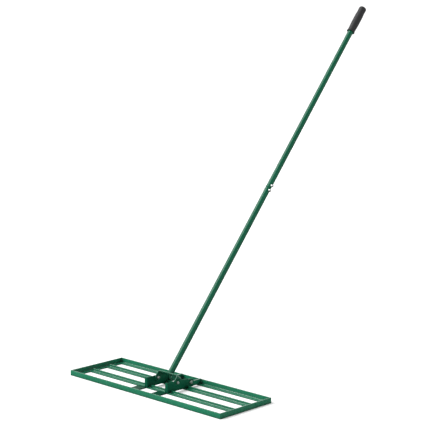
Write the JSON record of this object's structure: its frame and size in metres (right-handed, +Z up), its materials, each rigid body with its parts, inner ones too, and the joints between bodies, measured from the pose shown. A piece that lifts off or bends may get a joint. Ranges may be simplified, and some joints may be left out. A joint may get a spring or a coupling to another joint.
{
  "type": "lawn levelling rake",
  "caption": "Flat steel ground plate of angle bars with a long hinged handle, dragged over loose soil or sand to spread it level.",
  "frame": {"origin": "middle of the front bar's underside, on the ground", "axes": "+X along the bars to the right, +Y from the front bar to the rear bar, +Z up"},
  "size_m": [0.762, 1.2409, 1.3577],
  "materials": {
    "green_powder_coat": "satin powder coat",
    "zinc_steel": "bright zinc plate",
    "grip_rubber": "matte"
  },
  "bodies": {
    "ground_plate": {"front_bar": "green_powder_coat", "rear_bar": "green_powder_coat", "left_end_bar": "green_powder_coat", "right_end_bar": "green_powder_coat", "front_inner_bar": "green_powder_coat", "rear_inner_bar": "green_powder_coat", "left_strap": "green_powder_coat", "right_strap": "green_powder_coat", "left_cheek": "green_powder_coat", "right_cheek": "green_powder_coat", "left_rear_lug": "green_powder_coat", "right_rear_lug": "green_powder_coat", "left_pivot_bolt": "zinc_steel", "right_pivot_bolt": "zinc_steel", "left_pivot_nut": "zinc_steel", "right_pivot_nut": "zinc_steel", "left_rear_bolt": "zinc_steel", "right_rear_bolt": "zinc_steel", "left_rear_washer": "zinc_steel", "right_rear_washer": "zinc_steel"},
    "handle": {"yoke": "green_powder_coat", "lower_tube": "green_powder_coat", "upper_tube": "green_powder_coat", "joint_sleeve": "zinc_steel", "lower_joint_bolt": "zinc_steel", "upper_joint_bolt": "zinc_steel", "lower_joint_nut": "zinc_steel", "upper_joint_nut": "zinc_steel", "grip": "grip_rubber"}
  },
  "joints": [
    {"name": "handle_pivot", "type": "hinge", "parent": "ground_plate", "child": "handle", "pos_m": [0, 0.116, 0.0325], "axis": [1, 0, 0], "range_deg": [-50, 130]}
  ]
}
